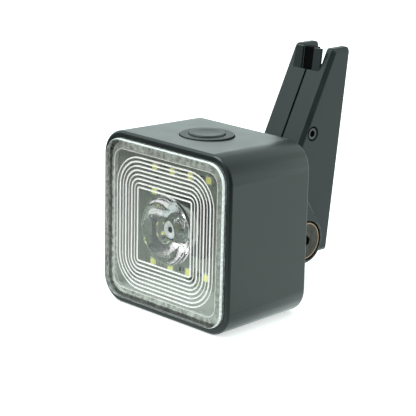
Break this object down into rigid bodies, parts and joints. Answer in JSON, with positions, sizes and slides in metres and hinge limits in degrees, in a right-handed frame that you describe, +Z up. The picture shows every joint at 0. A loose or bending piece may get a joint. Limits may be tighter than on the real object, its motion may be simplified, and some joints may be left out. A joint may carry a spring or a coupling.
{
  "type": "bicycle headlight",
  "caption": "Small square bicycle headlight with a ridged clear lens, a push button on top and a folding wedge-shaped bracket arm hinged behind it.",
  "frame": {"origin": "centre of the lamp housing's flat underside, midway between its front rim and its back face", "axes": "+Z up through the push button, -Y out of the lens, +X to the side of the hinge screw's head"},
  "size_m": [0.036, 0.0489, 0.0501],
  "materials": {
    "case_metal": "dark graphite anodised, satin",
    "bracket_plastic": "dark grey moulded, fine satin grain",
    "clear_cover": "clear, polished",
    "clear_optic": "clear, polished",
    "soft_seal": "black silicone",
    "button_rubber": "dark grey silicone, matt",
    "flap_rubber": "black rubber, matt",
    "reflector_plastic": "light grey, satin",
    "light_board_face": "pale solder mask on aluminium",
    "phosphor": "yellow phosphor under clear resin",
    "holder_plastic": "black, matt",
    "steel_screw": "bright zinc plated",
    "hinge_steel": "dark plated, turned",
    "insert_brass": "plain turned brass",
    "cell_foil": "silver laminate foil",
    "foam": "grey foam tape",
    "circuit_board": "green solder mask",
    "board_components": "black moulded packages",
    "socket_steel": "tin plated"
  },
  "bodies": {
    "lamp": {"housing": "case_metal", "back_plate": "bracket_plastic", "plate_seal": "soft_seal", "plate_screws": "steel_screw", "lens": "clear_cover", "lens_gasket": "soft_seal", "light_frame": "reflector_plastic", "led_board": "light_board_face", "chip_leds": "phosphor", "main_led": "phosphor", "collimator": "clear_optic", "optic_holder": "holder_plastic", "battery_pad": "foam", "battery_cell": "cell_foil", "main_board": "circuit_board", "board_parts": "board_components", "usb_socket": "socket_steel", "button_board": "circuit_board", "tactile_switch": "board_components", "button_seal": "button_rubber", "hinge_screw": "hinge_steel", "hinge_nut": "hinge_steel"},
    "button": {"button_cap": "button_rubber"},
    "flap": {"port_cover": "flap_rubber"},
    "arm": {"arm_left": "bracket_plastic", "arm_right": "bracket_plastic", "jaw_liner": "soft_seal", "pinch_screw": "steel_screw", "pinch_insert": "insert_brass", "hinge_sleeve": "hinge_steel"}
  },
  "joints": [
    {"name": "arm_tilt", "type": "hinge", "parent": "lamp", "child": "arm", "pos_m": [0, 0.0218, 0.01126], "axis": [1, 0, 0], "range_deg": [-80, 25]},
    {"name": "button_press", "type": "slide", "parent": "lamp", "child": "button", "axis": [0, 0, -1], "range_m": [0, 0.00045], "stiffness_N_per_m": 1500, "springref_m": -0.0003},
    {"name": "port_cover_open", "type": "hinge", "parent": "lamp", "child": "flap", "pos_m": [-0.013, 0.01085, 0.01225], "axis": [-1, 0, 0], "range_deg": [0, 90]}
  ]
}
